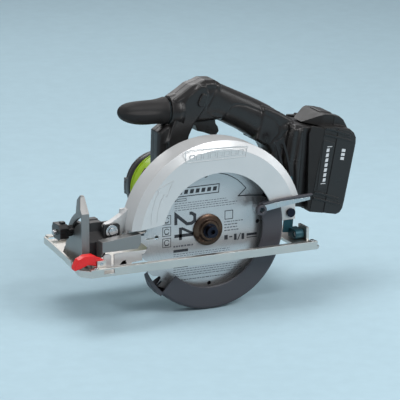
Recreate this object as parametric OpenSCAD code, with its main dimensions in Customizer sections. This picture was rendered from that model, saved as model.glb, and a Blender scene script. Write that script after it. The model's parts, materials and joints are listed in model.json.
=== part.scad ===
// Cordless circular saw with a 165 mm blade on the left of the motor.
// +X runs from the front of the shoe to the battery, +Z is up, and Z = 0 is the sole of the shoe.
// X = 0 is under the arbor. The blade side faces -Y and the motor side faces +Y.

/* [Blade] */
// Blade diameter
blade_d = 165; // [160:0.5:166]
// Blade body thickness
blade_t = 1.2; // [1:0.1:1.6]
// Number of teeth
blade_teeth = 24; // [16:2:40]
// Arbor hole diameter in the blade
arbor_hole_d = 15.88; // [15.88:0.01:16]
// Height of the arbor above the sole at full depth of cut
arbor_h = 27.5; // [27:0.25:29]
// Outer flange diameter
flange_d = 35; // [32:0.5:38]

/* [Guards] */
// Outer radius of the upper guard
guard_r = 103; // [102:0.5:106]
// Wall thickness of the upper guard
guard_wall = 2.5; // [2:0.1:3]
// Outer radius of the lower guard
lower_r = 87; // [86:0.5:88]
// Angle of the lower guard's front edge, from +X towards +Z
lower_front_a = -134; // [-140:1:-130]

/* [Shoe] */
// Length of the shoe
shoe_l = 284; // [280:1:290]
// Width of the shoe
shoe_w = 153; // [150:1:156]
// Thickness of the shoe plate
shoe_t = 3; // [2.5:0.1:3.2]
// Height of the flange along each side
flange_h = 9; // [8:0.1:9]

/* [Drive] */
// Gear module
gear_m = 0.8; // [0.8:0.01:0.81]
// Teeth on the spindle gear
gear_z = 48; // [48:1:48]
// Teeth on the motor pinion
pinion_z = 12; // [12:1:12]

/* [Battery] */
// Lean of the battery from upright
batt_lean = 11; // [9:0.5:12]
// Length of the battery along its rails
batt_l = 96; // [94:1:98]
// Width of the battery
batt_w = 76; // [74:1:78]

/* [Hidden] */
$fn = 96;
blade_y = -40.5;
shoe_x0 = -163;
shoe_x1 = shoe_x0 + shoe_l;
near_y = -36;
far_y = near_y + shoe_w;
spin_r = 6;
motor_x = -13;
gear_cd = gear_m * (gear_z + pinion_z) / 2;
motor_z = arbor_h + sqrt(gear_cd * gear_cd - motor_x * motor_x);
house_x = -11;
house_z = 56;
house_r = 39;
bevel_z = 9;
piv_x = -115;
piv_z = 39.5;
arc_r = 221;
depth_a = -1.9;
depth_travel = 20;
lock_a = 36;
lock_r = 44;
guard_x = 4;
guard_y1 = 11;
lip_a = -157;
grip_y = 48;
grip_w = 34;
foot_w = 68;
neck_w = 56;
batt_x = 125.2;
batt_z = 20;

// ---------------------------------------------------------------- helpers

// Everything is drawn with the blade's mid plane at Y = 0 and then set over the shoe.
module at_blade() { translate([0, blade_y, 0]) children(); }

// A flat XZ outline standing between y0 and y1.
module xz(y0, y1) {
  translate([0, y1, 0])
    rotate([90, 0, 0])
      linear_extrude(y1 - y0)
        children();
}

// A flat YZ outline standing between x0 and x1.
module yz(x0, x1) {
  translate([x0, 0, 0])
    rotate([90, 0, 90])
      linear_extrude(x1 - x0)
        children();
}

// A round bar along Y.
module bar_y(r, y0, y1, x, z) { translate([x, y1, z]) rotate([90, 0, 0]) cylinder(r = r, h = y1 - y0); }

// A tube along Y.
module tube_y(ro, ri, y0, y1, x, z) {
  difference() {
    bar_y(ro, y0, y1, x, z);
    bar_y(ri, y0 - 1, y1 + 1, x, z);
  }
}

// A round bar along X.
module bar_x(r, x0, x1, y, z) { translate([x0, y, z]) rotate([0, 90, 0]) cylinder(r = r, h = x1 - x0); }

// A box from two corners.
module box(a, b) { translate(a) cube(b - a); }

function arc_pt(r, a) = [r * cos(a), r * sin(a)];
function arc(r, a0, a1, n) = [for (i = [0:n]) arc_pt(r, a0 + (a1 - a0) * i / n)];

// A flat ring sector.
module sector(ri, ro, a0, a1, n = 24) {
  polygon(concat(arc(ro, a0, a1, n), arc(ri, a1, a0, n)));
}

// A curved slot with round ends.
module arc_slot(r, w, a0, a1) {
  sector(r - w / 2, r + w / 2, a0, a1);
  translate(arc_pt(r, a0)) circle(w / 2 - 0.02, $fn = 32);
  translate(arc_pt(r, a1)) circle(w / 2 - 0.02, $fn = 32);
}

// A ring sector about the arbor, or about x = cx, turned from a profile of [radius, y] points.
module turned(profile, a0, a1, cx = 0) {
  translate([cx, 0, arbor_h])
    rotate([90, 0, 0])
      rotate_extrude(angle = a1 - a0, start = a0)
        polygon([for (p = profile) [p[0], -p[1]]]);
}

// Involute half angle of a tooth at radius r.
function inv(a) = tan(a) - a * PI / 180;
function tooth_a(n, m, r) =
  let (rb = m * n / 2 * cos(20), rr = max(r, rb))
  90 / n * 0.82 + (inv(20) - inv(acos(rb / rr))) * 180 / PI;

// A spur gear outline with n teeth.
module gear_2d(n, m, phase) {
  rp = m * n / 2;
  radii = [rp - 1.25 * m, rp - 0.5 * m, rp, rp + 0.45 * m, rp + 0.85 * m];
  polygon([
    for (i = [0:n - 1], side = [-1, 1], k = [0:len(radii) - 1])
      let (r = radii[side < 0 ? k : len(radii) - 1 - k])
      arc_pt(r, phase + i * 360 / n + side * tooth_a(n, m, r))
  ]);
}

// Battery frame: s runs up along the rails, t runs to the rear.
module batt_frame() { translate([batt_x, grip_y, batt_z]) rotate([0, batt_lean, 0]) children(); }

// ---------------------------------------------------------------- shoe

// Plan outline of the shoe: the front edge is swept and the near corner is cut.
module shoe_2d() {
  polygon([[shoe_x0 + 9, near_y], [shoe_x0, near_y + 11], [shoe_x0 + 4, 0], [shoe_x0 + 10, 42],
           [shoe_x0 + 16, 92], [shoe_x0 + 18, far_y - 3], [shoe_x0 + 21, far_y],
           [shoe_x1 - 3, far_y], [shoe_x1, far_y - 3], [shoe_x1, near_y + 4], [shoe_x1 - 4, near_y]]);
}

module shoe_plate() {
  color([0.80, 0.81, 0.83]) at_blade() difference() {
    union() {
      linear_extrude(shoe_t) shoe_2d();
      box([shoe_x0 + 9, near_y, 0], [shoe_x1 - 4, near_y + 2, flange_h]);
      box([shoe_x0 + 9, near_y, flange_h - 1.6], [shoe_x1 - 4, near_y + 6, flange_h]);
      box([shoe_x0 + 21, far_y - 2, 0], [shoe_x1 - 3, far_y, flange_h]);
      box([shoe_x0 + 21, far_y - 8, flange_h - 1.6], [shoe_x1 - 3, far_y, flange_h]);
      // front lip
      linear_extrude(7.5) difference() {
        shoe_2d();
        translate([2.2, 0]) shoe_2d();
      }
      // rear ear for the bevel pivot
      box([116.5, -10, 0], [119.5, 10, 18]);
      // ears for the fence lever
      for (y = [-29.2, -17])
        box([-144, y, 0], [-134, y + 2, 16]);
    }
    // room behind the front lip for the quadrant
    box([-147, 12, shoe_t], [-140, 63, 8]);
    // window for the blade and the lower guard
    box([-96, -20, -1], [98, 22, shoe_t + 1]);
    // sight notches in the front edge
    box([shoe_x0 - 3, -1, -1], [shoe_x0 + 13, 1, 12]);
    box([shoe_x0 - 3, 8, -1], [shoe_x0 + 15, 10, 12]);
    // slots for the rip fence bar
    box([-139, near_y - 1, shoe_t], [-127, near_y + 9, flange_h - 1.6]);
    box([-139, far_y - 9, shoe_t], [-127, far_y + 1, flange_h - 1.6]);
    bar_x(3, 112, 125, 0, bevel_z);
    bar_y(2, -32, -12, -139, 12.5);
    // two long windows lighten the wide side
    box([-70, 66, -1], [60, 80, shoe_t + 1]);
  }
}

module bevel_quadrant() {
  color([0.78, 0.79, 0.80]) at_blade() difference() {
    union() {
      yz(-145, -142) union() {
        translate([0, bevel_z]) sector(1, 54, 14, 90);
        translate([0, bevel_z]) circle(5.9);
        polygon([[-9, shoe_t], [62, shoe_t], [54, 14], [48, 26], [0, 12]]);
        polygon([[-4, 14], [-4, 62], [9, 79], [14, 79], [22, 72], [27, 50], [4, 14]]);
      }
      // near flange, from the shoe to the top
      yz(-151, -144)
        polygon([[-4.2, 16], [-4.2, 62.4], [8.4, 78.6], [10.4, 77.4], [-2.2, 61.6], [-2.2, 16]]);
      bar_y(3.4, -1, 4.6, -146.6, 62);
      box([-143, 14, shoe_t], [-135.6, 61, shoe_t + 2.5]);
    }
    yz(-150, -130) translate([0, bevel_z]) arc_slot(lock_r, 6, lock_a, lock_a + 45);
    bar_x(3, -150, -130, 0, bevel_z);
    bar_y(1.7, -2, 3.4, -147, 62);
    xz(-6, 14) polygon([[-153, 80], [-146.4, 80], [-153, 62]]);
  }
}

module bevel_pivot_pins() {
  color([0.62, 0.62, 0.64]) at_blade() {
    bar_x(3, -145, -135, 0, bevel_z);
    bar_x(5.5, -147, -145, 0, bevel_z);
    bar_x(3, 107, 119.5, 0, bevel_z);
  }
}

module shoe_screws() {
  color([0.55, 0.55, 0.57]) at_blade() {
    for (y = [22, 54])
      translate([-139, y, shoe_t + 2.5]) cylinder(r = 2.1, h = 1.6);
    for (x = [-147, 112])
      translate([x, near_y + 3.2, flange_h]) cylinder(r = 2.6, h = 1.6);
  }
}

module fence_screw() { color([0.60, 0.60, 0.62]) at_blade() bar_y(2, -29.2, -15, -139, 12.5); }

module fence_lock_lever() {
  color([0.80, 0.10, 0.10]) at_blade() difference() {
    xz(-26.9, -17.3) union() {
      translate([-139, 12.5]) circle(5.2, $fn = 48);
      polygon([[-139, 17.7], [-147, 22.6], [-157, 22.6], [-165, 19], [-169, 12], [-169.4, 7.6],
               [-163, 9], [-154, 12.4], [-148, 11.4], [-139, 7.3]]);
    }
    bar_y(2.05, -30, -12, -139, 12.5);
  }
}

// The upright that marks the cutting line in front of the blade window.
module cut_guide() {
  color([0.88, 0.88, 0.88]) at_blade() difference() {
    union() {
      xz(-16, -14.2) {
        polygon([[-118.5, shoe_t], [-118.5, 17.2], [-116, 18], [-81, 18], [-81.4, 14.6], [-86, 13.4],
                 [-84.8, 7], [-97.5, 6], [-98.5, shoe_t]]);
        polygon([[-131.2, shoe_t], [-131.2, 16.4], [-129, 18.4], [-124, 18.4], [-121.6, 16.4],
                 [-121.6, shoe_t]]);
      }
      box([-131.2, -16, shoe_t], [-98.5, -9, shoe_t + 1.6]);
    }
    xz(-17, -13) polygon([[-112, 4.7], [-108.5, 9], [-105, 9.6], [-103.5, 4.7]]);
  }
}

// ---------------------------------------------------------------- bevel bracket

// Position of the bevel lock bolt.
function lock_y() = lock_r * cos(lock_a);
function lock_z() = bevel_z + lock_r * sin(lock_a);

module bevel_bracket() {
  color([0.20, 0.20, 0.21]) at_blade() difference() {
    union() {
      yz(-141.6, -136.8) union() {
        translate([0, bevel_z]) circle(5.6);
        polygon([[-3, 9], [-3, 30], [11, 44], [16, 46], [40, 44], [44, 34], [40, 26], [20, 9]]);
      }
      yz(-136.9, -123) polygon([[-3, 12], [-3, 30], [11, 44], [17, 50], [25, 50], [25, 12]]);
      bar_x(6.3, -124, -120.5, 8, 38);
      box([-136.9, 6, 34], [-123, 18, 49]);
      for (y = [-1.4, 11.3])
        xz(y, y + 3.1) polygon([[-124, 22], [-124, 47], [-107, 47], [-105, 45], [-105, 33], [-110, 29]]);
    }
    bar_x(3.05, -150, -120, 0, bevel_z);
    bar_x(2.9, -150, -130, lock_y(), lock_z());
    bar_y(4, -5, 25, piv_x, piv_z);
    box([-123, 1.75, 20], [-119, 11.25, 60]);
  }
}

// Folded plate on the bracket that closes the space in front of the blade.
module blade_shield() {
  color([0.60, 0.60, 0.60]) at_blade() {
    xz(-19, -17.2) polygon([[-133.4, 21.5], [-133.4, 33], [-88, 37.5], [-88, 27], [-92, 21.5]]);
    xz(-17.3, -7) polygon([[-133.4, 31.2], [-133.4, 33], [-88, 37.5], [-88, 35.7]]);
    yz(-133.4, -131.6) polygon([[-19, 21.5], [-19, 33], [-7, 33], [-3, 29.8], [-3, 13.5], [-11, 13.5]]);
  }
}

module bevel_bolt() {
  color([0.66, 0.66, 0.68]) at_blade() {
    bar_x(2.9, -168, -136.8, lock_y(), lock_z());
    bar_x(5.5, -136.8, -133.6, lock_y(), lock_z());
  }
}

module bevel_lock_lever() {
  cy = lock_y();
  cz = lock_z();
  color([0.06, 0.06, 0.06]) at_blade() difference() {
    union() {
      bar_x(5.4, -153, -145.3, cy, cz);
      bar_x(8.2, -163, -152.6, cy, cz);
      yz(-163, -152.6)
        polygon([[cy - 9, cz - 6], [cy - 9.4, cz + 5], [cy - 4, cz + 8.6], [cy + 11, cz + 8.6],
                 [cy + 14, cz + 3], [cy + 13, cz - 5], [cy + 7, cz - 8.6], [cy - 4, cz - 8.6]]);
      yz(-159, -154) polygon([[cy - 3, cz], [cy - 3, cz + 11], [cy + 3, cz + 11], [cy + 3, cz]]);
    }
    bar_x(2.95, -175, -140, cy, cz);
  }
}

module depth_pivot_pin() {
  color([0.72, 0.72, 0.74]) at_blade() {
    bar_y(4, -4.4, 14.4, piv_x, piv_z);
    bar_y(6, 14.4, 16.9, piv_x, piv_z);
  }
}

module pivot_clip() {
  color([0.50, 0.50, 0.52]) at_blade() xz(-3, -1.8)
    difference() {
      translate([piv_x, piv_z]) circle(7);
      translate([piv_x, piv_z]) circle(4);
      translate([piv_x, piv_z]) polygon([[0, 0], [-4, -9], [4, -9]]);
    }
}

// ---------------------------------------------------------------- depth guide

// Position of the depth lock bolt.
function depth_x() = piv_x + arc_r * cos(depth_a);
function depth_z() = piv_z + arc_r * sin(depth_a);

module depth_guide() {
  color([0.30, 0.36, 0.40]) at_blade() difference() {
    union() {
      xz(11.4, 13.4) translate([piv_x, piv_z]) sector(arc_r - 5.6, arc_r + 5.6, -8, 20, 48);
      yz(106, 116) union() {
        translate([0, bevel_z]) circle(5.6);
        polygon([[0, 3.6], [14, 3.6], [14, 14], [0, 14]]);
      }
    }
    xz(10, 25) translate([piv_x, piv_z]) arc_slot(arc_r, 6, depth_a, depth_a + depth_travel);
    bar_x(3.05, 90, 130, 0, bevel_z);
  }
}

// ---------------------------------------------------------------- upper guard and gear case

module upper_guard() {
  ri = guard_r - guard_wall;
  w0 = guard_y1 - 2.2;
  color([0.84, 0.85, 0.86]) at_blade() difference() {
    union() {
      turned([[68, -22], [guard_r - 9, -22], [guard_r, -17], [guard_r, guard_y1], [30, guard_y1],
              [30, w0], [ri, w0], [ri, -16], [guard_r - 10, -19.5], [68, -19.5]], 17, 177.4, guard_x);
      tube_y(34, 20.2, w0, guard_y1, 0, arbor_h);
      // lug for the depth bolt
      xz(w0, guard_y1) polygon([[30, 30], [98, 24], [112, 24], [112, 42], [104, 62], [30, 62]]);
      // arm to the depth pivot
      xz(2, guard_y1) polygon([[-118.5, 32.8], [-122.2, 36], [-122.6, 41.5], [-119.6, 46],
                               [-113, 48], [-101, 55], [-92, 62], [-92, 44], [-104, 33]]);
      xz(w0, guard_y1) polygon([[-104, 33], [-100, 60], [-60, 62], [-60, 30]]);
      box([-100, 2, 40], [-96, guard_y1, 56]);
    }
    bar_y(4.05, -5, 25, piv_x, piv_z);
    bar_y(2.9, 5, 25, depth_x(), depth_z());
    bar_y(20.2, 0, 25, 0, arbor_h);
    // the near face stops higher than the far face at the front
    xz(-23, -6) polygon([[-112, 20], [-112, 38.6], [-99, 40.3], [-69.5, 44.2], [-52, 46.5], [-52, 20]]);
  }
}

module gear_housing() {
  color([0.62, 0.63, 0.64]) at_blade() difference() {
    union() {
      xz(guard_y1, 42) hull() {
        translate([0, arbor_h]) circle(23.2);
        translate([motor_x, motor_z]) circle(24.5);
      }
      bar_y(20, 3.5, guard_y1 + 1, 0, arbor_h);
      for (a = [20, 100, 180])
        bar_y(4.2, guard_y1, 38, motor_x + 26 * cos(a), motor_z + 26 * sin(a));
    }
    xz(19, 39) hull() {
      translate([0, arbor_h]) circle(20.8);
      translate([motor_x, motor_z]) circle(21);
    }
    bar_y(13, 6, 20, 0, arbor_h);
    bar_y(7, 0, 20, 0, arbor_h);
    bar_y(8, 38, 43, motor_x, motor_z);
    bar_y(8, 38, 40.5, 0, arbor_h);
    translate([0, 22, arbor_h]) rotate([0, 48, 0]) cylinder(r = 1.95, h = 60);
  }
}

module guard_screws() {
  color([0.45, 0.45, 0.47]) at_blade()
    for (a = [35, 90, 145])
      bar_y(2.4, guard_y1 - 4.6, guard_y1 - 2.2, 29 * cos(a), arbor_h + 29 * sin(a));
}

module depth_bolt() {
  color([0.10, 0.10, 0.10]) at_blade() {
    bar_y(2.9, guard_y1 - 2.2, 27, depth_x(), depth_z());
    bar_y(5, guard_y1 - 5.4, guard_y1 - 2.2, depth_x(), depth_z());
  }
}

module depth_lock_lever() {
  bx = depth_x();
  bz = depth_z();
  color([0.86, 0.86, 0.86]) at_blade() difference() {
    union() {
      bar_y(7, 13.8, 25, bx, bz);
      xz(19, 25) polygon([[bx - 36, bz - 7], [bx - 36, bz - 1], [bx - 4, bz + 5.4], [bx + 3, bz - 5],
                          [bx - 8, bz - 5]]);
    }
    bar_y(2.95, 10, 40, bx, bz);
  }
}

// ---------------------------------------------------------------- lower guard

module lower_guard() {
  r = lower_r;
  color([0.30, 0.30, 0.33]) at_blade() union() {
    turned([[62, -10.8], [63, -11.6], [69, -12], [r - 3, -12], [r - 0.9, -11.2], [r, -9], [r, 5.8],
            [22, 5.8], [22, 3.8], [r - 2.2, 3.8], [r - 2.2, -8.6], [r - 3.6, -10], [62, -9.6]],
           lower_front_a, 24);
    tube_y(30, 20.05, 3.9, 5.7, 0, arbor_h);
    // open front lip that rides over the edge of the work
    difference() {
      turned([[r - 1.9, -11.4], [r + 2.4, -11.4], [r + 2.4, 5.4], [64, 5.4], [64, 4.1], [r - 1.9, 4.1]],
             lip_a, lower_front_a + 1);
      translate([0, 0, arbor_h]) rotate([0, 148, 0])
        yz(40, 110) polygon([[-13, -13], [7, 14], [7, -50], [-13, -50]]);
    }
  }
}

module guard_lever() {
  color([0.75, 0.75, 0.77]) at_blade() difference() {
    union() {
      bar_y(4.6, -27, -12, 53, 49.4);
      xz(-27, -23) polygon([[52, 47], [80, 50.8], [112, 54.6], [112, 57.8], [76, 56.6], [54, 54]]);
    }
    bar_y(3, -28, -13, 53, 49.4);
  }
}

module guard_spring() {
  color([0.55, 0.55, 0.57]) at_blade()
    for (i = [0:2])
      translate([0, 6.5 + i * 0.9, arbor_h])
        rotate([90, 0, 0])
          rotate_extrude()
            translate([21.6, 0])
              circle(0.42, $fn = 16);
}

// ---------------------------------------------------------------- blade and spindle

module blade() {
  r = blade_d / 2;
  pitch = 360 / blade_teeth;
  color([0.80, 0.80, 0.80]) at_blade() xz(-blade_t / 2, blade_t / 2)
    translate([0, arbor_h]) difference() {
      polygon([
        for (i = [0:blade_teeth - 1], p = [[0, 0], [2.2, 0], [7.5, -3.2], [10.4, -7.6], [12.6, -9.6],
                                           [14.2, -7.8], [14.9, -3]])
          arc_pt(r + p[1], 177 + i * pitch + p[0] * pitch / 15)
      ]);
      circle(arbor_hole_d / 2);
      for (a = [2, 92, 182, 272]) {
        translate(arc_pt(61, a)) circle(2.4, $fn = 24);
        polygon([arc_pt(61, a - 0.35), arc_pt(73.6, a - 0.3), arc_pt(73.6, a + 0.3), arc_pt(61, a + 0.35)]);
      }
    }
}

module inner_flange() {
  color([0.50, 0.50, 0.52]) at_blade() difference() {
    union() {
      bar_y(17, blade_t / 2, 3.2, 0, arbor_h);
      bar_y(arbor_hole_d / 2 - 0.03, -blade_t / 2, blade_t / 2, 0, arbor_h);
    }
    bar_y(spin_r, -5, 10, 0, arbor_h);
  }
}

module outer_flange() {
  color([0.30, 0.26, 0.22]) at_blade() difference() {
    turned([[5.2, -blade_t / 2 - 0.6], [12.6, -blade_t / 2 - 0.6], [13.6, -blade_t / 2],
            [flange_d / 2, -blade_t / 2], [flange_d / 2, -2.4], [15.4, -3.6], [12.4, -4.2],
            [10.6, -7], [5.2, -7]], 0, 360);
  }
}

module arbor_bolt() {
  color([0.12, 0.14, 0.20]) at_blade() difference() {
    union() {
      bar_y(8.2, -8.4, -7, 0, arbor_h);
      bar_y(6.4, -14.5, -8.3, 0, arbor_h);
      bar_y(3.9, -8, 14, 0, arbor_h);
    }
    xz(-15, -10) translate([0, arbor_h]) circle(2.9, $fn = 6);
  }
}

module spindle() {
  color([0.66, 0.66, 0.68]) at_blade() difference() {
    union() {
      bar_y(spin_r, -blade_t / 2, 40, 0, arbor_h);
      bar_y(6.8, 3.2, 6.05, 0, arbor_h);
      bar_y(8.8, 19.6, 24.4, 0, arbor_h);
    }
    bar_y(3.9, -5, 14, 0, arbor_h);
    // notches for the lock pin
    for (a = [0:90:270])
      translate([0, 22, arbor_h]) rotate([0, 48 + a, 0]) box([-2.2, -3, 6.2], [2.2, 3, 12]);
  }
}

module spindle_gear() {
  color([0.55, 0.55, 0.57]) at_blade() difference() {
    xz(25, 34) translate([0, arbor_h]) difference() {
      gear_2d(gear_z, gear_m, atan2(motor_z - arbor_h, motor_x));
      circle(spin_r);
      for (a = [0:60:300])
        translate(arc_pt(12.5, a)) circle(2.4, $fn = 24);
    }
  }
}

module pinion() {
  color([0.60, 0.60, 0.62]) at_blade() xz(24, 35) translate([motor_x, motor_z]) difference() {
    gear_2d(pinion_z, gear_m, atan2(arbor_h - motor_z, -motor_x) + 180 / pinion_z);
    circle(2.5, $fn = 48);
  }
}

module bearing_front() { color([0.72, 0.72, 0.74]) at_blade() tube_y(13, 6.05, 6.1, 16, 0, arbor_h); }

module bearing_rear() { color([0.72, 0.72, 0.74]) at_blade() tube_y(8, 6.05, 35, 40.4, 0, arbor_h); }

module spindle_lock() {
  color([0.08, 0.08, 0.08]) at_blade() {
    translate([0, 22, arbor_h]) rotate([0, 48, 0]) {
      translate([0, 0, 9.6]) cylinder(r = 1.9, h = 20);
      translate([0, 0, 28.4]) cylinder(r = 6, h = 5);
    }
  }
}

// ---------------------------------------------------------------- motor

module motor_shaft() { color([0.66, 0.66, 0.68]) at_blade() bar_y(2.5, 23, 108, motor_x, motor_z); }

module rotor() {
  color([0.35, 0.33, 0.30]) at_blade() difference() {
    xz(58, 86) translate([motor_x, motor_z]) difference() {
      circle(18);
      circle(2.5, $fn = 48);
      for (a = [0:30:330])
        rotate(a) translate([14, 0]) polygon([[-3, -1.2], [5, -0.5], [5, 0.5], [-3, 1.2]]);
    }
  }
}

module commutator() { color([0.72, 0.42, 0.22]) at_blade() tube_y(8.5, 2.5, 89, 98, motor_x, motor_z); }

module motor_fan() {
  color([0.12, 0.12, 0.12]) at_blade() xz(47, 54) translate([motor_x, motor_z]) difference() {
    union() {
      circle(9);
      for (a = [0:30:330])
        rotate(a) polygon([[8, -1], [27, 0.2], [27, 1.8], [8, 1]]);
    }
    circle(2.5, $fn = 48);
  }
}

module motor_bearings() {
  color([0.72, 0.72, 0.74]) at_blade() {
    tube_y(8, 2.55, 38.4, 43, motor_x, motor_z);
    tube_y(8, 2.55, 102, 107, motor_x, motor_z);
  }
}

module motor_can() { color([0.45, 0.45, 0.46]) at_blade() tube_y(26, 20, 56, 88, motor_x, motor_z); }

module brush_holder() {
  color([0.15, 0.15, 0.15]) at_blade() difference() {
    tube_y(26, 14, 92, 96.5, motor_x, motor_z);
    box([motor_x - 30, 90, motor_z - 3], [motor_x + 30, 100, motor_z + 3]);
  }
}

module brushes() {
  color([0.20, 0.20, 0.22]) at_blade() {
    box([motor_x - 24, 91.5, motor_z - 3], [motor_x - 8.6, 96.5, motor_z + 3]);
    box([motor_x + 8.6, 91.5, motor_z - 3], [motor_x + 24, 96.5, motor_z + 3]);
  }
}

module motor_housing() {
  color([0.55, 0.72, 0.05]) at_blade() difference() {
    union() {
      bar_y(house_r, 42, 100, house_x, house_z);
      bar_y(house_r - 4, 40, 42.1, house_x, house_z);
    }
    bar_y(house_r - 3, 45, 101, house_x, house_z);
    xz(39, 46) hull() {
      translate([0, arbor_h]) circle(23.4);
      translate([motor_x, motor_z]) circle(26);
    }
  }
}

module motor_end_cap() {
  color([0.06, 0.06, 0.06]) at_blade() difference() {
    union() {
      bar_y(house_r, 100, 102.4, house_x, house_z);
      bar_y(house_r - 3.5, 102, 113, house_x, house_z);
      bar_y(house_r - 7, 113, 116, house_x, house_z);
      // brush caps
      box([house_x - house_r + 1.4, 101, house_z - 9], [house_x + house_r - 1.4, 112, house_z + 9]);
    }
    bar_y(house_r - 6, 99, 111, house_x, house_z);
    bar_y(8, 99, 113, motor_x, motor_z);
    for (a = [20:20:340])
      translate([house_x, 0, house_z]) rotate([0, a, 0]) box([18, 105, -1.5], [50, 108.5, 1.5]);
  }
  color([0.06, 0.06, 0.06]) at_blade() tube_y(12, 8, 102, 111.5, motor_x, motor_z);
}

module motor_screws() {
  color([0.45, 0.45, 0.47]) at_blade()
    for (a = [45, 135, 225, 315])
      bar_y(3, 116, 117.4, house_x + 27 * cos(a), house_z + 27 * sin(a));
}

// ---------------------------------------------------------------- handles

// Outline of the closed handle, seen from the blade side.
module handle_2d() {
  difference() {
    polygon([[-40, 78], [-37.5, 104], [-36.5, 134], [-30, 138.5], [-24, 139], [-24, 166.6], [-11, 174],
             [-1, 180.6], [6, 182.4], [14, 185.4], [27, 184.4], [34, 179], [55, 168.6], [85, 153],
             [108, 138.4], [121, 131], [121, 100], [114, 62], [60, 56], [20, 56], [-20, 60]]);
    loop_2d();
  }
}

// The opening for the fingers.
module loop_2d() {
  polygon([[-14, 105], [-11, 128], [-2, 138.2], [32, 138.6], [38, 134.6], [54, 125.6], [76, 111.6],
           [90, 103], [94, 95], [90, 86], [70, 80], [30, 86], [10, 98]]);
}

// The rear foot: a neck that carries the battery rails, and the wider part in front of it.
module neck_2d() {
  polygon([[-12, 12], [3, 12], [3, 104], [-24, 104], [-24, 60], [-14, 30]]);
}

module foot_2d() {
  polygon([[-12, 14], [-10.6, 34], [-17.6, 101], [-18, 104], [-33, 104], [-33, 60], [-24, 38], [-16, 16]]);
}

// One half of the handle, from the parting face out to the near or far side.
module handle_half(side) {
  y0 = side < 0 ? grip_y - grip_w / 2 : grip_y;
  y1 = side < 0 ? grip_y : grip_y + grip_w / 2;
  f0 = side < 0 ? -foot_w / 2 : 0;
  f1 = side < 0 ? 0 : foot_w / 2;
  n0 = side < 0 ? -neck_w / 2 : 0;
  n1 = side < 0 ? 0 : neck_w / 2;
  difference() {
    union() {
      xz(y0, y1) handle_2d();
      batt_frame() xz(f0, f1) foot_2d();
      batt_frame() xz(n0, n1) neck_2d();
      // battery rail
      batt_frame() box([3, side * 24 - 2.5, 20], [8, side * 24 + 2.5, 98]);
      batt_frame() box([6, side * 20 - 3, 20], [8, side * 20 + 2, 98]);
    }
    // hollow inside
    xz(side < 0 ? y0 + 3 : y0 - 1, side < 0 ? y1 + 1 : y1 - 3) union() {
      polygon([[-34, 106], [-33.5, 131], [-21, 135.6], [-21, 164], [-1, 177], [14, 182], [26, 181],
               [54, 165], [106, 136], [117, 128], [117, 106], [98, 106], [78, 116], [54, 130],
               [36, 141], [-8, 142], [-17, 132], [-19, 104]]);
    }
    batt_frame() xz(side < 0 ? n0 + 3 : -1, side < 0 ? 1 : n1 - 3)
      polygon([[-9, 15], [0, 15], [0, 101], [-21, 101], [-21, 62], [-11, 32]]);
    bar_y(house_r + 0.05, 41.9, 101, house_x, house_z);
    bar_y(house_r - 3.9, 39.9, 42.2, house_x, house_z);
    xz(10, 42.1) hull() {
      translate([0, arbor_h]) circle(23.3);
      translate([motor_x, motor_z]) circle(30.6);
    }
    // slot for the trigger
    box([-5, grip_y - 8.5, 130], [37, grip_y + 8.5, 150]);
    // seat of the lock-off button
    translate([9, 0, 164.5]) rotate([0, 25, 0]) box([-4.2, 20, -8], [4.2, 80, 8]);
    // socket of the front handle
    bar_x(9.1, -50, -18, grip_y, 152.5);
    // opening for the terminal block
    batt_frame() box([-5, -9, 60], [5, 9, 92]);
  }
}

module handle_left() { color([0.07, 0.07, 0.07]) at_blade() handle_half(-1); }

module handle_right() { color([0.07, 0.07, 0.07]) at_blade() handle_half(1); }

module handle_screws() {
  color([0.45, 0.45, 0.47]) at_blade()
    for (p = [[-27, 120], [-14, 160], [64, 148], [100, 126], [60, 68]])
      bar_y(3, grip_y + grip_w / 2, grip_y + grip_w / 2 + 1, p[0], p[1]);
}

module front_handle() {
  color([0.07, 0.07, 0.07]) at_blade() translate([-24, grip_y, 152.5]) rotate([0, -86, 0])
    rotate_extrude()
      polygon([[0, -5], [9, -5], [9, 0.9], [13.2, 0.9], [13.6, 5], [12.6, 11], [12.8, 18], [13.6, 26],
               [13.8, 36], [13.2, 46], [11.6, 53], [8.6, 57.6], [4.6, 60.4], [0, 61.4]]);
}

module trigger() {
  color([0.09, 0.09, 0.09]) at_blade() difference() {
    xz(grip_y - 8, grip_y + 8)
      polygon([[-1, 147], [-3.5, 143], [-2, 139.5], [5, 134], [7, 128.2], [14, 126.2], [24, 122],
               [30, 121.4], [33.2, 125.6], [32, 130.6], [29.4, 134], [28.6, 139.2], [7, 146]]);
    bar_y(1.55, 20, 80, 1, 143.4);
  }
}

module trigger_pin() { color([0.60, 0.60, 0.62]) at_blade() bar_y(1.5, 36, 60, 1, 143.4); }

module lock_off_button() {
  color([0.10, 0.10, 0.10]) at_blade() translate([9, 0, 164.5]) rotate([0, 25, 0])
    xz(grip_y - grip_w / 2 - 2.2, grip_y + grip_w / 2 + 2.2) union() {
      translate([0, 3.8]) circle(3.9, $fn = 48);
      translate([0, -3.8]) circle(3.9, $fn = 48);
      polygon([[-3.9, -3.8], [3.9, -3.8], [3.9, 3.8], [-3.9, 3.8]]);
    }
}

module switch_unit() {
  color([0.14, 0.14, 0.14]) at_blade() {
    box([23, grip_y - 9, 147.4], [45, grip_y + 9, 163]);
    box([24, grip_y - 3, 144], [28, grip_y + 3, 147.5]);
  }
}

module terminal_block() {
  color([0.12, 0.12, 0.12]) at_blade() batt_frame() {
    box([-4.9, -8.9, 60.1], [4.2, 8.9, 74]);
    for (y = [-6, -0.4, 5.2])
      box([4.2, y, 64], [7.6, y + 0.8, 84]);
    for (y = [-6, -0.4, 5.2])
      box([3, y, 64], [4.3, y + 0.8, 74]);
  }
}

// ---------------------------------------------------------------- battery

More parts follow.
